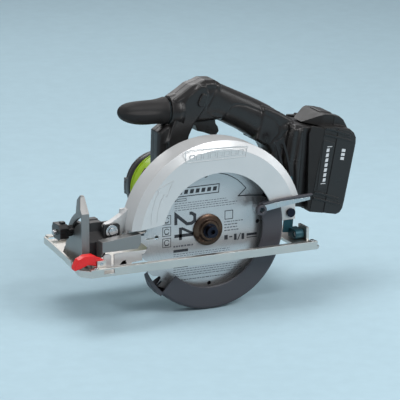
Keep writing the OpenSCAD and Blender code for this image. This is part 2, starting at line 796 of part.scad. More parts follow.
module battery_case() {
  hw = batt_w / 2;
  color([0.07, 0.07, 0.07]) at_blade() batt_frame() difference() {
    union() {
      xz(-hw, hw) polygon([[3.3, 10.4], [20, 10.4], [20, 12 + batt_l], [3.3, batt_l + 9.6]]);
      // cheeks beside the neck of the foot
      for (side = [0, 1])
        intersection() {
          xz(-hw, hw) polygon([[0.9, 11.4], [6, 11.4], [6, 105], [-9, 105], [-11, 96]]);
          linear_extrude(150) mirror([0, side])
            polygon([[-11.4, -hw + 6.8], [3.4, -hw], [6, -hw], [6, -hw + 9.4], [-11.4, -hw + 9.4]]);
        }
      // hump over the foot
      intersection() {
        xz(-24, 24) polygon([[-12, 105.2], [4, 116.4], [9, 118.6], [20, 118.6], [20, 104], [3.3, 104],
                             [3.3, 105.2]]);
        linear_extrude(150)
          polygon([[-13, -9], [5, -23], [9, -24], [21, -24], [21, 24], [9, 24], [5, 23], [-13, 9]]);
      }
    }
    // grooves for the rails
    for (side = [-1, 1]) {
      box([3, side * 24 - 2.9, 0], [8.4, side * 24 + 2.9, 98.4]);
      box([5.6, side * 20 - 3.4, 0], [8.4, side * 20 + 2.4, 98.4]);
    }
    // way in for the terminals
    box([3, -9.4, 0], [10, 9.4, 94]);
    // hollow for the cells
    box([12, -hw + 2.5, 13], [21, hw - 2.5, 104]);
    // seat of the latch
    box([8, -12.2, 109], [21, 12.2, 120]);
  }
}

module battery_cover() {
  hw = batt_w / 2;
  color([0.08, 0.08, 0.08]) at_blade() batt_frame() difference() {
    union() {
      xz(-hw, hw) polygon([[20, 10.4], [37, 10], [41.6, 12.4], [44, 17.6], [44.6, 26], [45.8, 92],
                           [44.8, 98.6], [41, 103.8], [35, 107.4], [20, 108]]);
      xz(-24, 24) polygon([[20, 104], [20, 118.6], [27, 118], [33, 114.6], [43, 100]]);
    }
    xz(-hw + 2.5, hw - 2.5)
      polygon([[19, 13], [36, 13], [41.4, 20], [43, 92], [39, 101], [33, 104.6], [19, 105]]);
    box([19, -12.2, 109], [28.4, 12.2, 120]);
  }
}

module battery_cells() {
  color([0.10, 0.35, 0.60]) at_blade() batt_frame()
    for (i = [0:4])
      bar_y(8.9, -32.5, 32.5, 27, 23.5 + i * 17.84);
}

module battery_contacts() {
  color([0.75, 0.60, 0.30]) at_blade() batt_frame()
    difference() {
      for (y = [-6, -0.4, 5.2])
        box([4.6, y - 1.3, 76], [10, y + 2.1, 92]);
      for (y = [-6, -0.4, 5.2])
        box([3, y - 0.3, 60], [8, y + 1.1, 86]);
    }
}

module battery_latch() {
  color([0.10, 0.10, 0.10]) at_blade() batt_frame()
    xz(-12, 12) polygon([[8.3, 111.6], [8.3, 119.6], [22, 119.6], [28, 115.4], [28, 111.6]]);
}

shoe_plate();
bevel_quadrant();
bevel_pivot_pins();
shoe_screws();
fence_lock_lever();
fence_screw();
cut_guide();
bevel_bracket();
blade_shield();
bevel_bolt();
bevel_lock_lever();
depth_pivot_pin();
pivot_clip();
depth_guide();
upper_guard();
gear_housing();
guard_screws();
depth_bolt();
depth_lock_lever();
lower_guard();
guard_spring();
guard_lever();
blade();
inner_flange();
outer_flange();
arbor_bolt();
spindle();
spindle_gear();
bearing_front();
bearing_rear();
spindle_lock();
pinion();
motor_shaft();
rotor();
commutator();
motor_fan();
motor_bearings();
motor_can();
brush_holder();
brushes();
motor_housing();
motor_end_cap();
motor_screws();
handle_left();
handle_right();
handle_screws();
front_handle();
trigger();
trigger_pin();
lock_off_button();
switch_unit();
terminal_block();
battery_case();
battery_cover();
battery_cells();
battery_contacts();
battery_latch();
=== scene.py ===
import json
import math

import bmesh
import bpy
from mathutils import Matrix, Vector, noise


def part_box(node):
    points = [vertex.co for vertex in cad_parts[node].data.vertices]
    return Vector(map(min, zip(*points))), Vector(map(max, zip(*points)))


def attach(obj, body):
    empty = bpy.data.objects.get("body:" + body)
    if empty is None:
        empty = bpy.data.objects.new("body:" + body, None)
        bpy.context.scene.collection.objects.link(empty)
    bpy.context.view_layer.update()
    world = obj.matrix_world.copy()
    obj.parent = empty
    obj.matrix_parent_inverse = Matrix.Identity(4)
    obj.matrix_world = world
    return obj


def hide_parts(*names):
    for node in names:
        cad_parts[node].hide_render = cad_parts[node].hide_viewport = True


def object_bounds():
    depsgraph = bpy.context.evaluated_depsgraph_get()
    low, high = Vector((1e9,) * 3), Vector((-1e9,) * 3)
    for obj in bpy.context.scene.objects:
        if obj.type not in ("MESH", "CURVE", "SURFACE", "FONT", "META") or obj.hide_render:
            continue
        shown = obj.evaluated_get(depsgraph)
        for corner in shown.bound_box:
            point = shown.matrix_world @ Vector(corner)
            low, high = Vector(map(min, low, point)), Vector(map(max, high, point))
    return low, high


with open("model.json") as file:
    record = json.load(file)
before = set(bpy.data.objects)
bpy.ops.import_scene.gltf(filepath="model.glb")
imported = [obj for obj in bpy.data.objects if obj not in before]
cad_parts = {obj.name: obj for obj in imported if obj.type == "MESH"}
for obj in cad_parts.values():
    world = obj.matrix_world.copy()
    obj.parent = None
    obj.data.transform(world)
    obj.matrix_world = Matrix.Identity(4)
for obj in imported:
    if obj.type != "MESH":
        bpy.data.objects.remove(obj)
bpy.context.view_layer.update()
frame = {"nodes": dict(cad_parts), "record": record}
NODES = frame["nodes"]

MM = 0.001
blade_low, blade_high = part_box("blade")
BLADE_Y = (blade_low.y + blade_high.y) / 2 / MM
bolt_low, bolt_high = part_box("arbor_bolt")
ARBOR_X = (bolt_low.x + bolt_high.x) / 2 / MM
ARBOR_Z = (bolt_low.z + bolt_high.z) / 2 / MM
GRIP_Y = 48.0                   # parting face of the handle, from the blade's mid plane
LEAN = math.radians(11)         # the battery rails lean forward at the foot
RAIL_X, RAIL_Z = 125.2, 20.0    # foot of the battery rails
MOTOR_AXIS = (-11.0, 56.0)      # x and z of the motor shaft


# ------------------------------------------------------------------ geometry
# All shapes are written in millimetres, with y measured from the blade's mid plane.

def metres(p):
    return Vector((p[0] * MM, (p[1] + BLADE_Y) * MM, p[2] * MM))


def rail(t, s):
    """A point of the battery frame, t to the rear and s up the rails, as (x, z)."""
    return (RAIL_X + t * math.cos(LEAN) + s * math.sin(LEAN),
            RAIL_Z - t * math.sin(LEAN) + s * math.cos(LEAN))


def make(name, verts, faces, body, material, smooth=True, slot=None):
    mesh = bpy.data.meshes.new(name)
    mesh.from_pydata([metres(v) for v in verts], [], faces)
    mesh.update()
    bm = bmesh.new()
    bm.from_mesh(mesh)
    bmesh.ops.recalc_face_normals(bm, faces=bm.faces)
    bm.to_mesh(mesh)
    bm.free()
    for p in mesh.polygons:
        p.use_smooth = smooth
    o = bpy.data.objects.new(name, mesh)
    bpy.context.scene.collection.objects.link(o)
    mesh.materials.append(material)
    if body:
        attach(o, body)
    return o


def apply_modifiers(o):
    dg = bpy.context.evaluated_depsgraph_get()
    dg.update()
    mesh = bpy.data.meshes.new_from_object(o.evaluated_get(dg))
    o.modifiers.clear()
    old = o.data
    o.data = mesh
    bpy.data.meshes.remove(old)
    return o


def bevel(o, width, segments=3, angle=35):
    m = o.modifiers.new("bevel", "BEVEL")
    m.width = width * MM
    m.segments = segments
    m.limit_method = "ANGLE"
    m.angle_limit = math.radians(angle)
    m.harden_normals = False
    n = o.modifiers.new("normals", "WEIGHTED_NORMAL")
    n.keep_sharp = True
    return o


def prism(outline, y0, y1):
    """A flat (x, z) outline standing between y0 and y1."""
    n = len(outline)
    verts = [(x, y0, z) for x, z in outline] + [(x, y1, z) for x, z in outline]
    faces = [list(range(n)), list(range(2 * n - 1, n - 1, -1))]
    faces += [[i, n + i, n + (i + 1) % n, (i + 1) % n] for i in range(n)]
    return verts, faces


def join(*parts):
    verts, faces = [], []
    for v, f in parts:
        base = len(verts)
        verts += v
        faces += [[i + base for i in face] for face in f]
    return verts, faces


def loft(rings, cap=True):
    n = len(rings[0])
    verts = [p for ring in rings for p in ring]
    faces = []
    for k in range(len(rings) - 1):
        for i in range(n):
            a, b = k * n + i, k * n + (i + 1) % n
            faces.append([a, b, b + n, a + n])
    if cap:
        faces.append(list(range(n)))
        faces.append(list(range(len(verts) - 1, len(verts) - n - 1, -1)))
    return verts, faces


def lathe(profile, cx, cz, steps=96, a0=0.0, a1=360.0):
    """Turns (radius, y) points about a line along Y through (cx, cz)."""
    whole = a1 - a0 >= 360
    count = steps if whole else steps + 1
    rings = []
    for i in range(count):
        a = math.radians(a0 + (a1 - a0) * i / steps)
        rings.append([(cx + r * math.cos(a), y, cz + r * math.sin(a)) for r, y in profile])
    n = len(profile)
    verts = [p for ring in rings for p in ring]
    faces = []
    for k in range(steps):
        k2 = (k + 1) % count
        for i in range(n):
            j = (i + 1) % n
            faces.append([k * n + i, k * n + j, k2 * n + j, k2 * n + i])
    if not whole:
        faces.append(list(range(n)))
        faces.append(list(range((count - 1) * n, count * n))[::-1])
    return verts, faces


def arc_points(cx, cz, r, a0, a1, n):
    return [(cx + r * math.cos(math.radians(a0 + (a1 - a0) * i / n)),
             cz + r * math.sin(math.radians(a0 + (a1 - a0) * i / n))) for i in range(n + 1)]


def ribbon(path, width, y, thick=0.08, closed=False):
    """A flat raised line along an (x, z) path, standing proud of the plane y towards the blade side."""
    n = len(path)
    left, right = [], []
    for i, (x, z) in enumerate(path):
        a = path[(i - 1) % n] if closed else path[max(i - 1, 0)]
        b = path[(i + 1) % n] if closed else path[min(i + 1, n - 1)]
        d1, d2 = Vector((x - a[0], z - a[1])), Vector((b[0] - x, b[1] - z))
        d1 = d1.normalized() if d1.length > 1e-6 else d2.normalized()
        d2 = d2.normalized() if d2.length > 1e-6 else d1
        d = (d1 + d2).normalized()
        normal = Vector((-d.y, d.x))
        w = width / 2 / max(0.4, d.dot(d1))
        left.append((x + normal.x * w, z + normal.y * w))
        right.append((x - normal.x * w, z - normal.y * w))
    rings = []
    for (lx, lz), (rx, rz) in zip(left, right):
        rings.append([(lx, y, lz), (lx, y - thick, lz), (rx, y - thick, rz), (rx, y, rz)])
    if closed:
        rings.append(rings[0])
    return loft(rings, cap=not closed)


def plate(x0, z0, x1, z1, y, thick=0.08):
    return prism([(x0, z0), (x1, z0), (x1, z1), (x0, z1)], y - thick, y)


def superellipse(steps, exponent):
    out = []
    for i in range(steps):
        a = 2 * math.pi * i / steps
        c, s = math.cos(a), math.sin(a)
        out.append((math.copysign(abs(c) ** (2 / exponent), c), math.copysign(abs(s) ** (2 / exponent), s)))
    return out


# ------------------------------------------------------------------ materials

def linear(rgb):
    """An 8-bit sRGB colour as linear RGBA."""
    return tuple((c / 255 / 12.92) if c / 255 <= 0.04045 else ((c / 255 + 0.055) / 1.055) ** 2.4
                 for c in rgb) + (1.0,)


class Tree:
    def __init__(self, name):
        self.material = bpy.data.materials.new(name)
        self.material.use_nodes = True
        self.nodes = self.material.node_tree.nodes
        self.links = self.material.node_tree.links
        self.nodes.clear()
        self.out = self.nodes.new("ShaderNodeOutputMaterial")
        self.shader = self.nodes.new("ShaderNodeBsdfPrincipled")
        self.links.new(self.shader.outputs[0], self.out.inputs[0])
        self.coord = self.nodes.new("ShaderNodeTexCoord").outputs["Object"]

    def add(self, kind, values=(), **props):
        node = self.nodes.new("ShaderNode" + kind)
        for k, v in props.items():
            setattr(node, k, v)
        for socket, value in dict(values).items():
            if isinstance(value, bpy.types.NodeSocket):
                self.links.new(value, node.inputs[socket])
            else:
                node.inputs[socket].default_value = value
        return node

    def scaled(self, scale):
        return self.add("Mapping", {"Vector": self.coord, "Scale": scale}).outputs[0]

    def noise(self, scale, detail=3.0, rough=0.55, vector=None):
        return self.add("TexNoise", {"Vector": vector or self.coord, "Scale": scale, "Detail": detail,
                                     "Roughness": rough}).outputs["Fac"]

    def remap(self, value, lo, hi, to_lo, to_hi):
        return self.add("MapRange", {"Value": value, "From Min": lo, "From Max": hi, "To Min": to_lo,
                                     "To Max": to_hi}).outputs[0]

    def mix(self, factor, a, b):
        node = self.add("Mix", data_type="RGBA")
        for socket, value in ((0, factor), (6, a), (7, b)):
            if isinstance(value, bpy.types.NodeSocket):
                self.links.new(value, node.inputs[socket])
            else:
                node.inputs[socket].default_value = value
        return node.outputs[2]

    def edges(self, radius, samples=4):
        """0 on flat ground, rising to 1 along sharp outer edges."""
        soft = self.add("Bevel", {"Radius": radius * MM}, samples=samples)
        normal = self.add("NewGeometry").outputs["Normal"]
        dot = self.add("VectorMath", {0: soft.outputs[0], 1: normal}, operation="DOT_PRODUCT").outputs["Value"]
        return self.remap(dot, 0.98, 0.80, 0.0, 1.0), soft.outputs[0]

    def bump(self, height, strength, distance, normal=None):
        values = {"Height": height, "Strength": strength, "Distance": distance * MM}
        if normal is not None:
            values["Normal"] = normal
        return self.add("Bump", values).outputs[0]

    def finish(self, colour, roughness, normal, metallic=0.0, specular=0.5):
        s = self.shader
        s.inputs["Metallic"].default_value = metallic
        s.inputs["Specular IOR Level"].default_value = specular
        for socket, value in (("Base Color", colour), ("Roughness", roughness), ("Normal", normal)):
            if isinstance(value, bpy.types.NodeSocket):
                self.links.new(value, s.inputs[socket])
            elif value is not None:
                s.inputs[socket].default_value = value
        return self.material


def moulded(name, rgb, rough=0.42, grain=1400, depth=0.03, wear=(120, 118, 115), wear_amount=0.35,
            radius=0.5):
    """Moulded plastic: fine spark-eroded grain, faint mottling, and slightly pale, rubbed edges."""
    t = Tree(name)
    edge, soft = t.edges(radius)
    mottle = t.noise(60, 4)
    fine = t.noise(grain, 2, 0.7)
    rub = t.remap(t.noise(240, 3), 0.45, 0.7, 0.0, wear_amount)
    amount = t.add("Math", {0: edge, 1: rub}, operation="MULTIPLY").outputs[0]
    base = t.mix(mottle, linear([c * 0.88 for c in rgb]), linear([min(255, c * 1.10) for c in rgb]))
    colour = t.mix(amount, base, linear(wear))
    spread = t.add("Math", {0: t.remap(mottle, 0.3, 0.7, rough - 0.05, rough + 0.07),
                            1: t.remap(fine, 0.3, 0.7, -0.03, 0.03)}, operation="ADD").outputs[0]
    normal = t.bump(fine, 0.55, depth, soft)
    return t.finish(colour, spread, normal)


def grip(name, rgb):
    """Soft overmould: pebbled cells with dull sheen."""
    t = Tree(name)
    edge, soft = t.edges(0.6)
    cells = t.add("TexVoronoi", {"Vector": t.coord, "Scale": 900.0}, feature="SMOOTH_F1").outputs["Distance"]
    mottle = t.noise(50, 4)
    base = t.mix(mottle, linear([c * 0.85 for c in rgb]), linear([c * 1.12 for c in rgb]))
    colour = t.mix(t.remap(edge, 0, 1, 0, 0.25), base, linear((95, 92, 90)))
    normal = t.bump(cells, 0.5, 0.06, soft)
    return t.finish(colour, t.remap(mottle, 0.3, 0.7, 0.52, 0.64), normal, specular=0.4)


def painted(name, rgb, rough=0.36, orange=0.02, chip_and_highlight_rgb=(120, 122, 125), chips=0.5, metallic=0.0, radius=0.6):
    """Painted casting: orange peel, slight cloudiness, and small chips on the edges; where the chip colour is
    pale, the chips are partly a painted edge highlight.
    """
    t = Tree(name)
    edge, soft = t.edges(radius)
    cloud = t.noise(22, 4)
    peel = t.noise(420, 2, 0.5)
    pits = t.noise(700, 3, 0.7)
    chips_and_highlight = t.add("Math", {0: edge, 1: t.remap(pits, 0.56, 0.62, 0.0, chips)}, operation="MULTIPLY").outputs[0]
    base = t.mix(cloud, linear([c * 0.955 for c in rgb]), linear([min(255, c * 1.03) for c in rgb]))
    colour = t.mix(chips_and_highlight, base, linear(chip_and_highlight_rgb))
    normal = t.bump(peel, 0.4, orange, soft)
    return t.finish(colour, t.remap(cloud, 0.3, 0.7, rough - 0.05, rough + 0.08), normal, metallic=metallic)


def zinc_below_painted_shade(name, rgb, shade_rgb, shade_level, rough=0.34):
    """Zinc plating up to a height in metres, and black painted shade above it, standing in for shadow on the
    upper part.
    """
    t = Tree(name)
    soft = t.edges(0.5)[1]
    cloud = t.noise(22, 4)
    height = t.add("SeparateXYZ", {0: t.coord}).outputs["Z"]
    plated = t.mix(cloud, linear([c * 0.92 for c in rgb]), linear(rgb))
    colour = t.mix(t.remap(height, shade_level - 0.0005, shade_level + 0.0005, 0.0, 1.0), plated, linear(shade_rgb))
    return t.finish(colour, t.remap(cloud, 0.3, 0.7, rough - 0.05, rough + 0.08),
                    t.bump(t.noise(420, 2, 0.5), 0.4, 0.02, soft), metallic=0.4)


def metal(name, rgb, rough=0.28, grain=(1, 1, 1), scale=300, depth=0.012, tint=None, scratches=0.3, radius=0.35,
          stain=0.12):
    """Bare or plated metal: drawn or ground grain along one axis, cloudy stain and bright edges."""
    t = Tree(name)
    edge, soft = t.edges(radius)
    lines = t.noise(scale, 4, 0.65, t.scaled(grain))
    cloud = t.noise(45, 4)
    dark = linear([c * (1 - stain) for c in rgb])
    base = t.mix(cloud, dark, linear([min(255, c * 1.04) for c in rgb]))
    if tint:
        base = t.mix(t.remap(t.noise(90, 3), 0.45, 0.68, 0.0, 0.5), base, linear(tint))
    colour = t.mix(t.remap(edge, 0, 1, 0, 0.5), base, linear([min(255, c * 1.2) for c in rgb]))
    roughness = t.add("Math", {0: t.remap(lines, 0.3, 0.7, rough - scratches * 0.25, rough + scratches * 0.25),
                               1: t.remap(cloud, 0.3, 0.7, -0.04, 0.06)}, operation="ADD").outputs[0]
    normal = t.bump(lines, 0.35, depth, soft)
    return t.finish(colour, roughness, normal, metallic=1.0)


def ground_disc(name, rgb, rough=0.3):
    """Blade plate: fine circular grinding marks about the arbor."""
    t = Tree(name)
    edge, soft = t.edges(0.25)
    centre = t.add("VectorMath", {0: t.coord, 1: (ARBOR_X * MM, 0.0, ARBOR_Z * MM)},
                   operation="SUBTRACT").outputs[0]
    flat = t.add("VectorMath", {0: centre, 1: (1.0, 0.0, 1.0)}, operation="MULTIPLY").outputs[0]
    radius = t.add("VectorMath", {0: flat}, operation="LENGTH").outputs["Value"]
    turns = t.add("Math", {0: radius, 1: 2600.0}, operation="MULTIPLY").outputs[0]
    rings = t.add("TexNoise", {"W": turns, "Scale": 1.0, "Detail": 3.0, "Roughness": 0.7},
                  noise_dimensions="1D").outputs["Fac"]
    cloud = t.noise(30, 4)
    base = t.mix(cloud, linear([c * 0.94 for c in rgb]), linear([min(255, c * 1.03) for c in rgb]))
    base = t.mix(t.remap(rings, 0.35, 0.65, 0.0, 0.16), base, linear([c * 0.80 for c in rgb]))
    colour = t.mix(t.remap(edge, 0, 1, 0, 0.5), base, linear([min(255, c * 1.15) for c in rgb]))
    roughness = t.remap(rings, 0.3, 0.7, rough - 0.06, rough + 0.08)
    normal = t.bump(rings, 0.25, 0.01, soft)
    return t.finish(colour, roughness, normal, metallic=0.75)


def ink(name, rgb, rough=0.5):
    """Screen-printed ink with thin and worn patches."""
    t = Tree(name)
    wear = t.noise(900, 4, 0.7)
    colour = t.mix(t.remap(wear, 0.55, 0.75, 0.0, 0.45), linear(rgb), linear([min(255, c + 90) for c in rgb]))
    normal = t.bump(wear, 0.3, 0.01)
    return t.finish(colour, t.remap(wear, 0.3, 0.7, rough - 0.08, rough + 0.1), normal)


BLACK = moulded("black_plastic", (28, 26, 26), rough=0.31, grain=1500, depth=0.03, wear=(80, 77, 75))
BLACK_DULL = moulded("black_plastic_dull", (24, 23, 23), rough=0.47, grain=1500, depth=0.03,
                     wear=(70, 68, 66))
BLACK_SMOOTH = moulded("black_plastic_fine", (23, 22, 22), rough=0.28, grain=2200, depth=0.015,
                       wear=(76, 74, 72))
RUBBER = grip("grip_rubber", (24, 22, 22))
GREEN = moulded("green_plastic", (150, 186, 0), rough=0.30, grain=1600, depth=0.02, wear=(205, 222, 120))
RED = moulded("red_plastic", (226, 28, 30), rough=0.30, grain=1600, depth=0.015, wear=(255, 140, 130))
GUARD = painted("guard_paint", (208, 209, 209), rough=0.34, metallic=0.30)
# lower guard: pale patches along its edges, partly real chips and partly a painted rim highlight
GUARD_GREY = painted("guard_grey", (66, 65, 71), rough=0.40, chip_and_highlight_rgb=(160, 160, 165), orange=0.015)
SHOE = metal("shoe_metal", (206, 203, 198), rough=0.36, grain=(0.06, 1, 1), scale=900, depth=0.008,
             stain=0.035)
ZINC = metal("zinc", (196, 200, 202), rough=0.30, grain=(1, 1, 0.2), scale=500, tint=(176, 190, 200))
STEEL = metal("bright_steel", (190, 190, 192), rough=0.24, grain=(1, 0.1, 1), scale=700)
BLACK_STEEL = metal("black_steel", (44, 47, 58), rough=0.30, scale=500, depth=0.01, stain=0.25)
BRONZE = metal("bronze_steel", (96, 78, 66), rough=0.33, scale=400, depth=0.008, tint=(60, 52, 50))
CAST = painted("cast_alloy", (146, 146, 145), rough=0.42, orange=0.05, metallic=0.85)
CASTING = painted("black_casting", (34, 33, 34), rough=0.38, orange=0.04, chip_and_highlight_rgb=(110, 110, 112))
# depth guide: zinc below 0.072 m, and black painted shade above it where the guide lies in shadow
ZINC_WITH_PAINTED_SHADE = zinc_below_painted_shade("blue_zinc_painted_shade", (38, 84, 96), (34, 33, 34), 0.072)
BLADE = ground_disc("blade_steel", (204, 204, 205), rough=0.32)
COPPER = metal("copper", (200, 132, 84), rough=0.26, scale=400)
CARBON = moulded("carbon", (40, 40, 42), rough=0.6)
WRAP = moulded("cell_wrap", (30, 96, 160), rough=0.25, grain=300, depth=0.01)
INK = ink("print_dark", (40, 42, 48))
INK_LIGHT = ink("print_grey", (96, 98, 104))
INK_WHITE = ink("print_white", (206, 208, 210))

# material of each of the record's slots, and of the few nodes that differ from their slot
BY_SLOT = {"shoe_metal": SHOE, "zinc": ZINC, "bright_steel": STEEL, "red_plastic": RED,
           "black_casting": CASTING, "black_plastic": BLACK, "guard_paint": GUARD, "cast_alloy": CAST,
           "black_steel": BLACK_STEEL, "guard_grey": GUARD_GREY, "blade_steel": BLADE,
           "bronze_steel": BRONZE, "copper": COPPER, "carbon": CARBON, "green_plastic": GREEN,
           "grip_rubber": RUBBER, "cell_wrap": WRAP}
BY_NODE = {"depth_guide": ZINC_WITH_PAINTED_SHADE, "battery_case": BLACK_DULL, "battery_contacts": COPPER,
           "depth_lock_lever": STEEL, "bevel_quadrant": CAST}

# width of the rounded edges of each visible node, in millimetres
ROUNDING = {"shoe_plate": 0.8, "upper_guard": 0.9, "lower_guard": 0.5, "battery_case": 1.2,
            "battery_cover": 1.6, "battery_latch": 1.2, "motor_housing": 1.6, "motor_end_cap": 1.4,
            "trigger": 1.8, "lock_off_button": 1.2, "bevel_bracket": 0.9, "bevel_quadrant": 0.5,
            "bevel_lock_lever": 1.0, "fence_lock_lever": 1.2, "gear_housing": 1.0, "guard_lever": 0.6,
            "depth_lock_lever": 0.6, "depth_guide": 0.4, "arbor_bolt": 0.4, "outer_flange": 0.3,
            "spindle_lock": 0.8, "motor_screws": 0.4, "handle_screws": 0.3, "shoe_screws": 0.4,
            "bevel_bolt": 0.4, "depth_pivot_pin": 0.5, "pivot_clip": 0.2, "cut_guide": 0.4,
            "blade_shield": 0.7, "depth_bolt": 0.4, "guard_screws": 0.3}
TURNED = ("upper_guard", "lower_guard")    # their chamfers meet at a flatter angle

for part in frame["record"]["subparts"]:
    name = part["node"]
    node = NODES[name]
    node.data.materials.clear()
    node.data.materials.append(BY_NODE.get(name, BY_SLOT[part["material_slot"]]))
    for polygon in node.data.polygons:
        polygon.use_smooth = True
        polygon.material_index = 0
    weld = node.modifiers.new("weld", "WELD")
    weld.merge_threshold = 0.01 * MM
    if name in ROUNDING:
        flatten = node.modifiers.new("flatten", "DECIMATE")
        flatten.decimate_type = "DISSOLVE"
        flatten.angle_limit = math.radians(0.8)
        bevel(node, ROUNDING[name], 3, 18 if name in TURNED else 32)
        even = node.modifiers.new("even", "WEIGHTED_NORMAL")
        even.keep_sharp = True
    else:
        sharp = node.modifiers.new("sharp", "EDGE_SPLIT")
        sharp.split_angle = math.radians(35)


# ------------------------------------------------------------------ closed handle

def ring(top, bottom, half_width, exponent, steps=40):
    """An oval section across the handle, standing between two (x, z) points."""
    cx, cz = (top[0] + bottom[0]) / 2, (top[1] + bottom[1]) / 2
    hx, hz = (top[0] - bottom[0]) / 2, (top[1] - bottom[1]) / 2
    return [(cx + hx * a, GRIP_Y + half_width * b, cz + hz * a) for a, b in superellipse(steps, exponent)]


def slab(outline, half_width, chamfer):
    """A standing outline whose near and far edges are chamfered inwards."""
    n = len(outline)
    cx, cz = sum(p[0] for p in outline) / n, sum(p[1] for p in outline) / n
    rings = []
    for inset, y in ((chamfer, -half_width), (0, -half_width + chamfer), (0, half_width - chamfer),
                     (chamfer, half_width)):
        pts = []
        for i, (x, z) in enumerate(outline):
            a, b = outline[i - 1], outline[(i + 1) % n]
            d1 = Vector((x - a[0], z - a[1])).normalized()
            d2 = Vector((b[0] - x, b[1] - z)).normalized()
            nx, nz = -(d1.y + d2.y), (d1.x + d2.x)
            length = math.hypot(nx, nz) or 1.0
            nx, nz = nx / length, nz / length
            if (x + nx - cx) ** 2 + (z + nz - cz) ** 2 > (x - cx) ** 2 + (z - cz) ** 2:
                nx, nz = -nx, -nz
            pts.append((x + nx * inset, GRIP_Y + y, z + nz * inset))
        rings.append(pts)
    return loft(rings)


# top point, bottom point, half width and roundness of each section of the grip
GRIP_SECTIONS = [
    ((-6, 177), (-10, 139), 12.5, 3.2), ((2, 181.5), (2, 139), 14.5, 3.2),
    ((14, 184.8), (17, 139.2), 15.6, 3.0), ((26, 184.0), (30, 138.6), 16.0, 2.8),
    ((34, 178.8), (38, 134.6), 16.2, 2.6), ((44, 173.8), (46, 130.0), 16.4, 2.4),
    ((55, 168.4), (55, 125.2), 16.6, 2.35), ((70, 161.0), (65, 118.8), 16.8, 2.3),
    ((85, 153.2), (76, 111.6), 17.0, 2.35), ((97, 146.4), (86, 105.6), 17.6, 2.5),
    ((107, 139.4), (95, 99), 18.6, 2.7), ((116, 133.2), (104, 92), 20.5, 3.0),
    ((121, 130.4), (112, 88), 22.0, 3.4),
]

# (x, z) outlines of the slabs that the shell is merged from
hump = [(-24, 139.6), (-24, 166.4), (-11, 174), (-1, 180.6), (6, 182.2), (14, 185.2), (27, 184.2), (34, 179),
        (40, 160), (36, 139), (-2, 138.8), (-11, 128), (-14, 118), (-36, 118), (-30, 134)]
column = [(-42, 80), (-42, 106), (-41, 132), (-31, 138.4), (-20, 139), (-10, 132), (-12, 104), (-8, 80)]
band = [(8, 181.4), (-9, 169.5), (-18, 156), (-27, 137), (-31, 122), (-32, 84), (-10, 84), (-9, 112),
        (-6.5, 126), (0, 138.5), (13, 156), (17, 170), (14, 180)]
rear = [(84, 150), (104, 141), (121, 130.4), (127, 112), (121, 78), (108, 62), (60, 58), (66, 79), (88, 86),
        (93, 95), (89, 103), (74, 112)]
base = [(-44, 64), (-44, 84), (-8, 84), (30, 84), (66, 80), (92, 90), (118, 88), (112, 58), (60, 56), (20, 56),
        (-20, 60)]
foot_front = [rail(-33, 60), rail(-33, 103), rail(-22, 104), rail(-18.6, 103), rail(-11.8, 34),
              rail(-13, 16), rail(-16, 16), rail(-24, 38)]
foot_rib = [rail(-22.6, 60), rail(-23.6, 101.4), rail(-18.8, 101.4), rail(-12.0, 33), rail(-13.4, 17),
            rail(-15.6, 18), rail(-16.2, 33)]
foot_neck = [rail(-24, 60), rail(-24, 103.6), rail(2.7, 103.6), rail(2.7, 12.4), rail(-11.6, 12.4),
             rail(-14, 30)]

verts, faces = join(
    loft([ring(*s) for s in GRIP_SECTIONS]),
    slab(hump, 14.6, 4.0),
    slab(column, 11.5, 2.5),
    slab(band, 16.8, 1.2),
    slab(rear, 18.0, 3.0),
    slab(base, 16.5, 3.0),
    slab(foot_front, 30.4, 5.0),
    slab(foot_rib, 33.8, 2.0),
    slab(foot_neck, 27.6, 1.4),
)
body = make("handle_body", verts, faces, None, BLACK)
remesh = body.modifiers.new("remesh", "REMESH")
remesh.mode = "VOXEL"
remesh.voxel_size = 1.0 * MM
remesh.use_smooth_shade = True
smooth = body.modifiers.new("smooth", "SMOOTH")
smooth.factor = 0.5
smooth.iterations = 5
apply_modifiers(body)


def cutter(name, verts, faces):
    return make(name, verts, faces, None, BLACK)


def subtract(target, *tools):
    for tool in tools:
        m = target.modifiers.new("cut", "BOOLEAN")
        m.operation = "DIFFERENCE"
        m.solver = "EXACT"
        m.object = tool
        apply_modifiers(target)
        bpy.data.objects.remove(tool)
    return target


subtract(
    body,
    cutter("cut_trigger", *prism([(-6, 128), (-5, 150), (36, 150), (36, 128)], GRIP_Y - 8.6, GRIP_Y + 8.6)),
    cutter("cut_motor", *lathe([(0.0, 38), (39.3, 38), (39.3, 90), (0.0, 90)], *MOTOR_AXIS, 96)),
    cutter("cut_gears", *lathe([(0.0, 5), (31.5, 5), (31.5, 43), (0.0, 43)], -13, 47.7, 64)),
    cutter("cut_arbor", *lathe([(0.0, 5), (24.0, 5), (24.0, 43), (0.0, 43)], 0, ARBOR_Z, 64)),
)

# grooves where the soft grip meets the hard shell, and at the joint of the grip with the rear arm
OVERMOULD = [(36, 139), (41, 149), (44, 153.6), (52, 155.2), (64, 152.4), (80, 145), (96, 135), (103, 126),
             (101, 118), (92, 108), (86, 104)]
JOINT = [(122, 131), (112, 122), (104, 112), (98, 102), (95, 96)]
HUMP_LINE = [(30, 186), (27, 176), (22, 166), (16, 156), (15, 150), (22, 144), (30, 140)]


def distance(px, pz, path):
    best = 1e9
    for (ax, az), (bx, bz) in zip(path, path[1:]):
        dx, dz = bx - ax, bz - az
        k = max(0.0, min(1.0, ((px - ax) * dx + (pz - az) * dz) / (dx * dx + dz * dz)))
        best = min(best, math.hypot(px - ax - k * dx, pz - az - k * dz))
    return best


def inside(px, pz, polygon):
    odd = False
    for (ax, az), (bx, bz) in zip(polygon, polygon[1:] + polygon[:1]):
        if (az > pz) != (bz > pz) and px < (bx - ax) * (pz - az) / (bz - az) + ax:
            odd = not odd
    return odd


